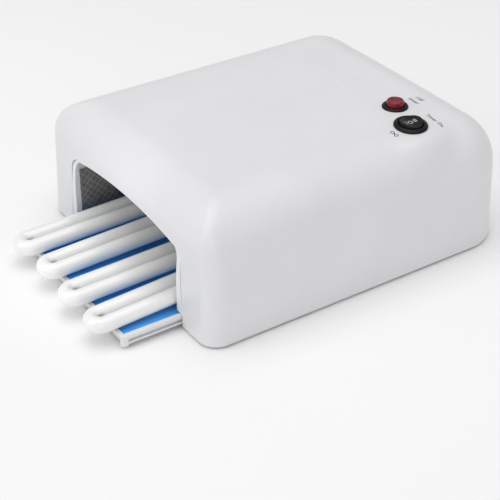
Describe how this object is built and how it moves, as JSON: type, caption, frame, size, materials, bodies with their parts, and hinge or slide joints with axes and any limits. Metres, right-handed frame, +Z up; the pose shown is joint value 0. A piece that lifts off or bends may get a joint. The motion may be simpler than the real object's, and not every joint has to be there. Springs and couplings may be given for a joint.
{
  "type": "uv curing lamp",
  "caption": "White bench UV curing lamp: arched tunnel housing, sliding tray with blue-filmed reflector, U tubes lying on it, red timer button and round rocker switch.",
  "frame": {"origin": "middle of the whole lamp's footprint, on the surface that it stands on", "axes": "+Z up; -Y is the open front that the tray slides out of; +X is to the right of someone facing the front's far side, the side with the switches"},
  "size_m": [0.21, 0.303, 0.097],
  "materials": {
    "white_plastic": "satin",
    "liner_plastic": "satin",
    "embossed_metal": "embossed, bright",
    "blue_film": "gloss",
    "tube_glass": "gloss over a white phosphor coat",
    "lamp_base": "matte",
    "black_plastic": "satin",
    "red_plastic": "gloss",
    "rubber": "matte",
    "steel": "bright",
    "brass": "bright",
    "circuit_board": "satin",
    "choke_core": "varnished"
  },
  "bodies": {
    "housing": {"top_housing": "white_plastic", "base_plate": "white_plastic", "inner_liner": "liner_plastic", "rear_bulkhead": "liner_plastic", "guide_rail_left": "liner_plastic", "guide_rail_right": "liner_plastic", "tube_clip_1": "liner_plastic", "tube_clip_2": "liner_plastic", "reflector_left": "embossed_metal", "reflector_right": "embossed_metal", "reflector_top": "embossed_metal", "cord_gland": "rubber", "timer_board": "circuit_board", "ballast_1": "choke_core", "ballast_2": "choke_core", "timer_button_bezel": "black_plastic", "timer_button_nut": "black_plastic", "timer_button_spring": "steel", "rocker_switch_body": "black_plastic", "foot_1": "rubber", "lamp_socket_1": "lamp_base", "foot_2": "rubber", "lamp_socket_2": "lamp_base", "foot_3": "rubber", "lamp_socket_3": "lamp_base", "foot_4": "rubber", "lamp_socket_4": "lamp_base", "base_screw_1": "steel", "base_screw_2": "steel", "base_screw_3": "steel", "base_screw_4": "steel", "base_screw_5": "steel", "base_screw_6": "steel"},
    "tray": {"tray_body": "white_plastic", "tray_reflector": "embossed_metal", "tray_film": "blue_film"},
    "timer_button": {"timer_button_cap": "red_plastic"},
    "rocker": {"rocker_paddle": "black_plastic"},
    "tube_1": {"uv_tube_1": "tube_glass", "tube_base_1": "lamp_base", "tube_pin_1a": "brass", "tube_pin_1b": "brass"},
    "tube_2": {"uv_tube_2": "tube_glass", "tube_base_2": "lamp_base", "tube_pin_2a": "brass", "tube_pin_2b": "brass"},
    "tube_3": {"uv_tube_3": "tube_glass", "tube_base_3": "lamp_base", "tube_pin_3a": "brass", "tube_pin_3b": "brass"},
    "tube_4": {"uv_tube_4": "tube_glass", "tube_base_4": "lamp_base", "tube_pin_4a": "brass", "tube_pin_4b": "brass"}
  },
  "joints": [
    {"name": "tray_slide", "type": "slide", "parent": "housing", "child": "tray", "axis": [0, -1, 0], "range_m": [-0.042, 0.118]},
    {"name": "timer_press", "type": "slide", "parent": "housing", "child": "timer_button", "axis": [0, 0, -1], "range_m": [0, 0.002], "stiffness_N_per_m": 600, "springref_m": -0.003, "deforming": ["timer_button_spring"]},
    {"name": "rocker_tip", "type": "hinge", "parent": "housing", "child": "rocker", "pos_m": [0.07138, 0.08338, 0.08825], "axis": [0.9981, 0, -0.061], "range_deg": [-8, 8]},
    {"name": "tube_1_lift", "type": "slide", "parent": "tray", "child": "tube_1", "axis": [0, -0.9962, 0.0872], "range_m": [0, 0.19]},
    {"name": "tube_2_lift", "type": "slide", "parent": "tray", "child": "tube_2", "axis": [0, -0.9962, 0.0872], "range_m": [0, 0.19]},
    {"name": "tube_3_lift", "type": "slide", "parent": "tray", "child": "tube_3", "axis": [0, -0.9962, 0.0872], "range_m": [0, 0.19]},
    {"name": "tube_4_lift", "type": "slide", "parent": "tray", "child": "tube_4", "axis": [0, -0.9962, 0.0872], "range_m": [0, 0.19]}
  ]
}
